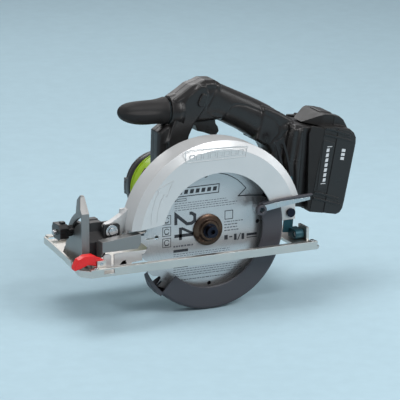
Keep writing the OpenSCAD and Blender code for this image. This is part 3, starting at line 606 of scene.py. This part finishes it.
def split_halves(source, left_name, right_name, gap, material):
    """Parts a closed body at the parting face into two closed halves."""
    out = []
    for name, side in ((left_name, -1), (right_name, 1)):
        mesh = source.data.copy()
        bm = bmesh.new()
        bm.from_mesh(mesh)
        plane = (GRIP_Y + side * gap + BLADE_Y) * MM
        cut = bmesh.ops.bisect_plane(bm, geom=bm.verts[:] + bm.edges[:] + bm.faces[:], plane_co=(0, plane, 0),
                                     plane_no=(0, -side, 0), clear_outer=True)
        edges = [e for e in cut["geom_cut"] if isinstance(e, bmesh.types.BMEdge)]
        bmesh.ops.holes_fill(bm, edges=edges)
        bm.to_mesh(mesh)
        bm.free()
        o = bpy.data.objects.new(name, mesh)
        bpy.context.scene.collection.objects.link(o)
        mesh.materials.clear()
        mesh.materials.append(material)
        for p in mesh.polygons:
            p.use_smooth = True
        out.append(o)
    bpy.data.objects.remove(source)
    return out


SOFT_GRIP = [(30, 186), (24, 172), (17, 156), (16, 148), (24, 143), (34, 140), (41, 149), (44, 153.6),
             (52, 155.2), (64, 152.4), (80, 145), (96, 135), (104, 126), (122, 131), (100, 147), (60, 168),
             (36, 181)]
GROOVE = 0.75    # depth and half width of a groove
mesh = body.data
normals = [v.normal.copy() for v in mesh.vertices]
for v, n in zip(mesh.vertices, normals):
    x, z = v.co.x / MM, v.co.z / MM
    if z < 88 or x > 124:
        continue
    near = min(distance(x, z, OVERMOULD), distance(x, z, JOINT), distance(x, z, HUMP_LINE))
    depth = GROOVE * math.exp(-(near / GROOVE) ** 2)
    if inside(x, z, SOFT_GRIP):
        depth -= 0.25
    v.co -= n * depth * MM
mesh.update()

halves = split_halves(body, "handle_left_shell", "handle_right_shell", 0.12, BLACK)
for o, node in zip(halves, ("handle_left", "handle_right")):
    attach(o, "saw_body")
    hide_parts(node)

# ------------------------------------------------------------------ front handle
# distance out from the shell, height above the axis and depth below it
PROFILE = [(3.2, 9.4, 9.4), (3.8, 15.2, 14.2), (5.0, 15.6, 14.8), (9.0, 14.6, 14.2), (13, 13.6, 13.9),
           (18, 12.8, 13.9), (24, 12.3, 14.2), (31, 12.0, 14.4), (38, 11.6, 14.0), (45, 10.9, 12.8),
           (51, 9.8, 11.0), (55.4, 8.0, 8.8), (58.6, 5.6, 6.0), (60.4, 3.0, 3.0), (61.0, 0.8, 0.8)]
RISE = math.radians(4)
KNOB_Z = 152.5
rings = []
for s, up, down in PROFILE:
    cx, cz = -24 - s * math.cos(RISE), KNOB_Z + s * math.sin(RISE)
    pts = []
    for a, b in superellipse(48, 2.25):
        r = up if a > 0 else down
        flat = 1.0 if s < 8 else 0.95
        pts.append((cx + a * r * math.sin(RISE), GRIP_Y + b * r * flat, cz + a * r * math.cos(RISE)))
    rings.append(pts)
o = make("front_handle_grip", *loft(rings), "saw_body", RUBBER, slot="grip_rubber")
o.modifiers.new("round", "SUBSURF").render_levels = 1
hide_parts("front_handle")
collar = lathe([(9.2, -12), (20.0, -12), (19.0, -6), (16.9, 0.4), (16.2, 1.4), (9.2, 1.4)], 0, 0, 72)
o = make("front_handle_collar", *collar, None, BLACK)
for v in o.data.vertices:
    x, y, z = v.co.x / MM, v.co.y / MM - BLADE_Y, v.co.z / MM
    v.co = metres((-24.5 - y * math.cos(RISE) + z * math.sin(RISE), GRIP_Y + x,
                   KNOB_Z + y * math.sin(RISE) + z))
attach(o, "saw_body")

# ------------------------------------------------------------------ blade print
FACE = -0.6    # near face of the blade plate
shapes = [
    ribbon([(3.3, 91.3), (10, 90.6), (17, 88.6), (24, 86.6), (30, 83.4), (36, 79.6), (41, 75.2),
            (46.7, 69.0)], 0.9, FACE),
    ribbon([(46.7, 69.2), (42, 65.2), (37.2, 61.0)], 1.0, FACE),
    ribbon([(36.6, 61.2), (52, 60.2), (68.5, 58.4)], 1.3, FACE),
]
frame_box = [(-38.4, 68.0), (13.4, 68.0), (14.2, 77.4), (-33.0, 77.4), (-38.6, 75.2)]
shapes.append(ribbon(frame_box, 1.0, FACE, closed=True))
for i in range(7):
    x = -35.2 + i * 6.9
    shapes.append(prism([(x, 70.4), (x + 4.4, 70.4), (x + 5.4, 75.0), (x + 1.0, 75.0)], FACE - 0.08, FACE))
shapes.append(ribbon([(-36.6, 63.0), (-25.6, 63.0), (-25.6, 65.4), (-36.6, 65.4)], 0.6, FACE, closed=True))
shapes.append(plate(-39.4, 62.8, -37.6, 65.6, FACE))
for tag_z in (7.4, -10.2):
    shapes.append(plate(-41.0, tag_z - 1.6, -23.4, tag_z + 1.4, FACE))


def two(w, h, t):
    """Outline strokes of a figure two, w wide and h tall."""
    return [(0, h * 0.74), (0, h * 0.84), (w * 0.22, h), (w * 0.78, h), (w, h * 0.84), (w, h * 0.62),
            (0, t / 2), (w, t / 2)]


def turned(path, x, z):
    """Turns (u, v) clockwise by a quarter, as figures that read downwards."""
    return [(x + v, z - u) for u, v in path]


w, h, t = 11.5, 24.5, 3.6    # width, height and stroke of a figure
shapes.append(ribbon(turned(two(w, h, t), -39.8, 48.2), t, FACE))
for stroke, width in (([(w * 0.72, 0), (w * 0.72, h)], t), ([(w * 0.72, h - 0.4), (0.0, h * 0.36)], t * 0.8),
                      ([(-1.0, h * 0.30), (w + 1.6, h * 0.30)], t)):
    shapes.append(ribbon(turned(stroke, -39.8, 32.4), width, FACE))
make("blade_figures", *join(*shapes), "blade_set", INK, smooth=False, slot="blade_steel")

shapes = []
for z in (43.4, 30.6, 18.0):
    shapes.append(ribbon([(-53.8, z - 4.9), (-44.2, z - 4.9), (-44.2, z + 4.9), (-53.8, z + 4.9)], 0.7, FACE,
                         closed=True))
    shapes.append(ribbon(arc_points(-49, z + 0.2, 2.9, 20, 340, 18), 0.8, FACE))
    shapes.append(plate(-51.2, z - 3.4, -46.8, z - 2.4, FACE))
shapes.append(ribbon([(21.2, 36.4), (30.6, 36.4), (30.6, 45.8), (21.2, 45.8)], 0.8, FACE, closed=True))
shapes += [plate(*block, FACE) for block in ((20.4, 13.2, 24.6, 18.4), (26.4, 15.2, 30.2, 16.6),
                                             (32.2, 11.6, 35.4, 18.6))]
shapes.append(ribbon([(36.6, 11.2), (40.2, 18.8)], 1.0, FACE))
shapes += [plate(*block, FACE) for block in ((41.4, 11.4, 44.6, 18.2), (47.6, 12.2, 60.0, 13.2),
                                             (47.6, 14.6, 60.0, 17.4))]
make("blade_marks", *join(*shapes), "blade_set", INK, smooth=False, slot="blade_steel")


def text_rows(x0, x1, z_top, rows, pitch, seed, height=0.72):
    """Rows of short bars that stand for small print."""
    out = []
    for r in range(rows):
        z = z_top - r * pitch
        x = x0
        end = x1 - 6 * (0.5 + 0.5 * noise.noise(Vector((seed, r * 3.7, 1.3))))
        k = 0
        while x < end:
            length = 1.6 + 2.6 * abs(noise.noise(Vector((seed + r * 5.1, k * 1.9, 0.4)))) * 2
            out.append(plate(x, z - height / 2, min(x + length, end), z + height / 2, FACE, 0.06))
            x += length + 0.9
            k += 1
    return out


rows = text_rows(-39.4, 27, 60.4, 2, 2.6, 1.0) + text_rows(-39.4, 38, 55.4, 2, 2.6, 2.0)
rows += text_rows(20.4, 46, 33.4, 1, 2.0, 3.0, 1.0) + text_rows(20.4, 40, 30.2, 3, 3.3, 4.0, 1.2)
rows += text_rows(-41, -15, 12.6, 1, 2.0, 5.0, 1.8) + text_rows(-41, 30, 3.6, 2, 2.3, 6.0)
rows += text_rows(-41, 44, -14.0, 4, 2.5, 7.0) + text_rows(-41, 32, -26.0, 1, 2.0, 8.0, 0.9)
make("blade_small_print", *join(*rows), "blade_set", INK_LIGHT, smooth=False, slot="blade_steel")

# carbide tips brazed to the teeth
TEETH = 24
TIP_R = 82.5


def on_blade(a, r, along, side):
    """A point r from the arbor at angle a, along the rim and to one side of the plate."""
    return (ARBOR_X + r * math.cos(a) - along * math.sin(a), side,
            ARBOR_Z + r * math.sin(a) + along * math.cos(a))


teeth = []
for i in range(TEETH):
    a = math.radians(177 + i * 360 // TEETH)
    root = [on_blade(a, TIP_R - 6.5, 0.2, s) for s in (-0.9, 0.9)]
    root += [on_blade(a, TIP_R - 6.5, 1.8, s) for s in (0.9, -0.9)]
    tip = [on_blade(a, TIP_R - 0.05, 0.0, s) for s in (-1.0, 1.0)]
    tip += [on_blade(a, TIP_R - 0.35, 2.1, s) for s in (1.0, -1.0)]
    teeth.append(loft([root, tip]))
make("carbide_tips", *join(*teeth), "blade_set", BLACK_STEEL, smooth=False, slot="blade_steel")

# ------------------------------------------------------------------ raised marks of the upper guard
GUARD_FACE = -22.0
raised = [ribbon([(-35.4, 110.6), (35.6, 110.6), (37.4, 121.8), (30.0, 122.6), (-31.0, 124.6), (-37.2, 123.2)],
                 0.9, GUARD_FACE, 0.35, closed=True)]
for i in range(8):
    x = -31.4 + i * 8.3
    lift = 0.9 - abs(i - 3.5) * 0.2
    raised.append(ribbon([(x, 113.6), (x + 5.6, 113.6), (x + 6.2, 118.6 + lift), (x + 0.6, 118.6 + lift)],
                         0.8, GUARD_FACE, 0.3, closed=True))
# the arrow that shows which way the blade turns, in two strokes
raised.append(ribbon([(-77.0, 47.0), (-77.2, 54.0), (-75.6, 64.0), (-72.4, 74.0), (-67.6, 83.0)], 0.8,
                     GUARD_FACE, 0.3))
raised.append(ribbon([(-67.6, 83.0), (-71.0, 84.6), (-51.0, 92.6), (-58.4, 76.0), (-61.6, 78.8), (-65.6, 72.0),
                      (-68.6, 63.0), (-70.0, 54.0), (-70.2, 49.0)], 0.8, GUARD_FACE, 0.3))
o = make("guard_raised_marks", *join(*raised), "saw_body", GUARD, smooth=False, slot="guard_paint")
bevel(o, 0.12, 2, 40)

# dark boss ring of the guard lever, and a dark strip of painted shade along the lever's top
LEVER_X, LEVER_Z = 53.0, 49.4
LEVER_BACK = -22.7    # clear of the upper guard's face when the lower guard is drawn back
boss = lathe([(3.05, -28.2), (5.4, -28.2), (5.9, -27.6), (5.9, LEVER_BACK), (3.05, LEVER_BACK)],
             LEVER_X, LEVER_Z, 64)
o = make("lever_boss", *boss, "lower_guard", GUARD_GREY, slot="guard_grey")
bevel(o, 0.3, 2)
# painted shade: a dark grey strip laid along the top of the silver lever
strip = prism([(55.4, 54.3), (76, 56.8), (110, 58.0), (115.5, 59.6), (115.5, 60.8), (98, 60.4), (74, 59.0),
               (54, 56.6)], -27.4, LEVER_BACK)
o = make("lever_painted_shade", *strip, "lower_guard", GUARD_GREY, slot="guard_grey")
bevel(o, 0.5, 2)

# ------------------------------------------------------------------ motor
rim = lathe([(37.6, 92.4), (39.4, 92.6), (39.9, 93.6), (39.9, 101.6), (39.2, 102.6), (37.6, 102.6)],
            *MOTOR_AXIS, 128)
make("motor_rim", *rim, "saw_body", BLACK_SMOOTH, slot="black_plastic")
bead = lathe([(38.7, 88.6), (39.5, 88.9), (39.7, 89.5), (39.5, 90.1), (38.7, 90.4)], *MOTOR_AXIS, 128)
make("motor_bead", *bead, "saw_body", GREEN, slot="green_plastic")
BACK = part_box("motor_end_cap")[1].y / MM - BLADE_Y
cap_rings = [lathe([(r - 0.8, BACK - 0.6), (r - 0.5, BACK + 0.35), (r + 0.5, BACK + 0.35),
                    (r + 0.8, BACK - 0.6)], *MOTOR_AXIS, 96) for r in (12.0, 17.5, 23.0)]
make("cap_rings", *join(*cap_rings), "saw_body", BLACK_SMOOTH, slot="black_plastic")

# brush cap on the front of the motor cap
cap = prism([(-48.4, 50), (-49.6, 51), (-49.6, 61), (-48.4, 62), (-45, 62), (-45, 50)], 102.6, 111)
o = make("brush_cap", *cap, "saw_body", BLACK_SMOOTH, slot="black_plastic")
bevel(o, 0.8, 2)

# ------------------------------------------------------------------ battery details
HALF = 38.0    # half width of the battery


def side_prism(points, y0, y1):
    """A prism whose outline is given in the battery frame."""
    return prism([rail(t, s) for t, s in points], y0, y1)


def bar(path, width, side, lift):
    """A raised line along a (t, s) path on one side of the battery."""
    wall = GRIP_Y + side * (HALF - 0.3)
    return ribbon([rail(t, s) for t, s in path], width, wall, -side * (lift + 0.3))


for side in (-1, 1):
    tag = "near" if side < 0 else "far"
    low, high = sorted((GRIP_Y + side * (HALF - 1.0), GRIP_Y + side * (HALF + 0.55)))
    face = side_prism([(20.6, 12), (36.4, 11.6), (40.6, 14), (42.8, 18.6), (43.4, 26), (44.6, 91.6),
                       (43.6, 97.6), (40.2, 102.4), (34.6, 105.8), (20.6, 106)], low, high)
    o = make("battery_face_" + tag, *face, "battery", BLACK, slot="black_plastic")
    bevel(o, 0.7, 3)
    strip = side_prism([(7.4, 35), (18.8, 37.6), (18.8, 90.4), (4.6, 92.6), (4.6, 88)], low, high)
    o = make("battery_panel_" + tag, *strip, "battery", BLACK, slot="black_plastic")
    bevel(o, 0.5, 3)
    for k, (s0, s1) in enumerate(((102.2, 98.2), (29.6, 25.4))):
        ridge = join(bar([(4.4, s0 + 3.2), (12, s0 + 2.6), (36.6, s1 + 2.4)], 2.6, side, 1.3),
                     bar([(4.4, s0 - 3.6), (12, s0 - 4.2), (40.0, s1 - 4.4)], 2.6, side, 1.3),
                     bar([(20.4, s0 + 0.2), (37.6, s1 - 0.8)], 1.6, side, 1.1))
        o = make("battery_ridge_%s_%d" % (tag, k), *ridge, "battery", BLACK_SMOOTH, slot="black_plastic")
        bevel(o, 0.7, 3)
    edge = bar([(3.9, 14), (3.9, 106)], 1.1, side, 0.7)
    o = make("battery_edge_" + tag, *edge, "battery", BLACK_SMOOTH, slot="black_plastic")
    bevel(o, 0.4, 2)

# plain printed blocks on the near side
outlines = []
for k in range(7):
    s0 = 45.4 + k * 5.6
    lean = 12.2 - (s0 - 45.4) * 0.055
    outlines.append([(lean, s0), (lean, s0 + 3.9), (lean + 3.4, s0 + 4.6), (lean + 3.4, s0 + 0.7)])
for s0, s1 in ((42.6, 43.4), (84.6, 85.4)):
    outlines.append([(10.4, s0), (10.4, s1), (16.4, s1 + 1.0), (16.4, s0 + 1.0)])
for k in range(3):
    s0 = 72 + k * 4.6
    outlines.append([(29.4, s0), (29.4, s0 + 3.2), (33.8, s0 + 3.2), (33.8, s0)])
marks = [side_prism(outline, GRIP_Y - HALF - 0.66, GRIP_Y - HALF - 0.45) for outline in outlines]
make("battery_marks", *join(*marks), "battery", INK_WHITE, smooth=False, slot="black_plastic")

# ------------------------------------------------------------------ small parts
# a plain badge on the motor housing beside the column
HOUSING_R = 39.0
axis = Vector((-44.2 - MOTOR_AXIS[0], 81.0 - MOTOR_AXIS[1])).normalized()


def on_housing(u, v, lift):
    """A point on the motor housing: u degrees round from the badge's middle, v along Y."""
    a = math.atan2(axis.y, axis.x) + math.radians(u)
    r = HOUSING_R + lift
    return (MOTOR_AXIS[0] + r * math.cos(a), v, MOTOR_AXIS[1] + r * math.sin(a))


def patch(name, u0, u1, v0, v1, lift, material):
    """A thin curved plate on the motor housing, from u0 to u1 degrees and v0 to v1 along Y."""
    rings = []
    for lift_k in (lift, -0.3):
        rings.append([on_housing(u0 + (u1 - u0) * i / 8, v0, lift_k) for i in range(9)]
                     + [on_housing(u1 + (u0 - u1) * i / 8, v1, lift_k) for i in range(9)])
    return make(name, *loft(rings), "saw_body", material, smooth=False, slot="green_plastic")


patch("badge_plate", -7, 7, 60, 76, 0.35, BLACK_SMOOTH)
patch("badge_red", -3.2, -0.6, 62, 74, 0.5, RED)
patch("badge_white", 0.6, 3.2, 62, 74, 0.5, INK_WHITE)

# ridges on the bevel knob
lock_low, lock_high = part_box("bevel_bolt")
lock_y = (lock_low.y + lock_high.y) / 2 / MM - BLADE_Y
lock_z = (lock_low.z + lock_high.z) / 2 / MM
RIDGES = 14
ridges = []
for i in range(RIDGES):
    a = math.radians(i * 360 / RIDGES)
    c, s = math.cos(a), math.sin(a)
    rings = []
    for r, w in ((5.2, 0.9), (6.2, 0.5)):
        left = (lock_y + r * c - w * s, lock_z + r * s + w * c)
        right = (lock_y + r * c + w * s, lock_z + r * s - w * c)
        rings.append([(-151.8, *left), (-151.8, *right), (-146.0, *right), (-146.0, *left)])
    ridges.append(loft(rings))
make("knob_ridges", *join(*ridges), "bevel_lever", BLACK, smooth=False, slot="black_plastic")

# ------------------------------------------------------------------ stage, light and camera
low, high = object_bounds()
floor_z = low.z - 0.0005
mesh = bpy.data.meshes.new("floor")
mesh.from_pydata([(-14, -14, floor_z), (14, -14, floor_z), (14, 14, floor_z), (-14, 14, floor_z)], [],
                 [(0, 1, 2, 3)])
floor = bpy.data.objects.new("floor", mesh)
bpy.context.scene.collection.objects.link(floor)
t = Tree("floor_paper")
fibre = t.noise(60, 4)
floor_colour = t.mix(t.remap(fibre, 0.3, 0.7, 0.0, 1.0), linear((176, 202, 213)), linear((180, 206, 217)))
mesh.materials.append(t.finish(floor_colour, 0.85, t.bump(fibre, 0.1, 0.05), specular=0.1))

world = bpy.data.worlds.new("studio")
bpy.context.scene.world = world
world.use_nodes = True
world.node_tree.nodes["Background"].inputs[0].default_value = (0.94, 0.96, 1.0, 1.0)
world.node_tree.nodes["Background"].inputs[1].default_value = 0.36


def softbox(name, place, aim, size, power, colour=(1.0, 1.0, 1.0)):
    """A rectangular area light at one place, turned towards another."""
    light = bpy.data.lights.new(name, "AREA")
    light.shape = "RECTANGLE"
    light.size, light.size_y = size
    light.energy = power
    light.color = colour
    o = bpy.data.objects.new(name, light)
    o.location = place
    o.rotation_euler = (Vector(aim) - Vector(place)).to_track_quat("-Z", "Y").to_euler()
    bpy.context.scene.collection.objects.link(o)


softbox("key", (0.55, -1.35, 1.25), (0, 0, 0.06), (0.9, 0.8), 17)
softbox("top", (-0.15, 0.35, 1.5), (0, 0, 0.08), (1.2, 0.7), 11)
softbox("side", (1.5, -0.5, 0.7), (0.05, 0, 0.06), (0.5, 0.9), 5, (0.95, 0.98, 1.0))
softbox("left_strip", (-1.5, -0.3, 0.7), (0, 0, 0.08), (0.3, 1.0), 4)
softbox("back", (0.3, 1.5, 0.9), (0, 0, 0.08), (1.0, 0.5), 4)

camera_data = bpy.data.cameras.new("camera")
camera = bpy.data.objects.new("camera", camera_data)
bpy.context.scene.collection.objects.link(camera)
AZIMUTH, ELEVATION, DISTANCE = math.radians(-25.5), math.radians(15.0), 4.0
back = Vector((math.sin(AZIMUTH) * math.cos(ELEVATION), -math.cos(AZIMUTH) * math.cos(ELEVATION),
               math.sin(ELEVATION)))
aim = metres((-8.7, 0.0, 61.5))
camera.location = aim + back * DISTANCE
camera.rotation_euler = (-back).to_track_quat("-Z", "Y").to_euler()
camera_data.sensor_width = 36.0
camera_data.lens = 331.2
camera_data.clip_start, camera_data.clip_end = 0.1, 60.0
bpy.context.scene.camera = camera
bpy.context.scene.view_settings.view_transform = "Standard"
bpy.context.scene.view_settings.look = "None"
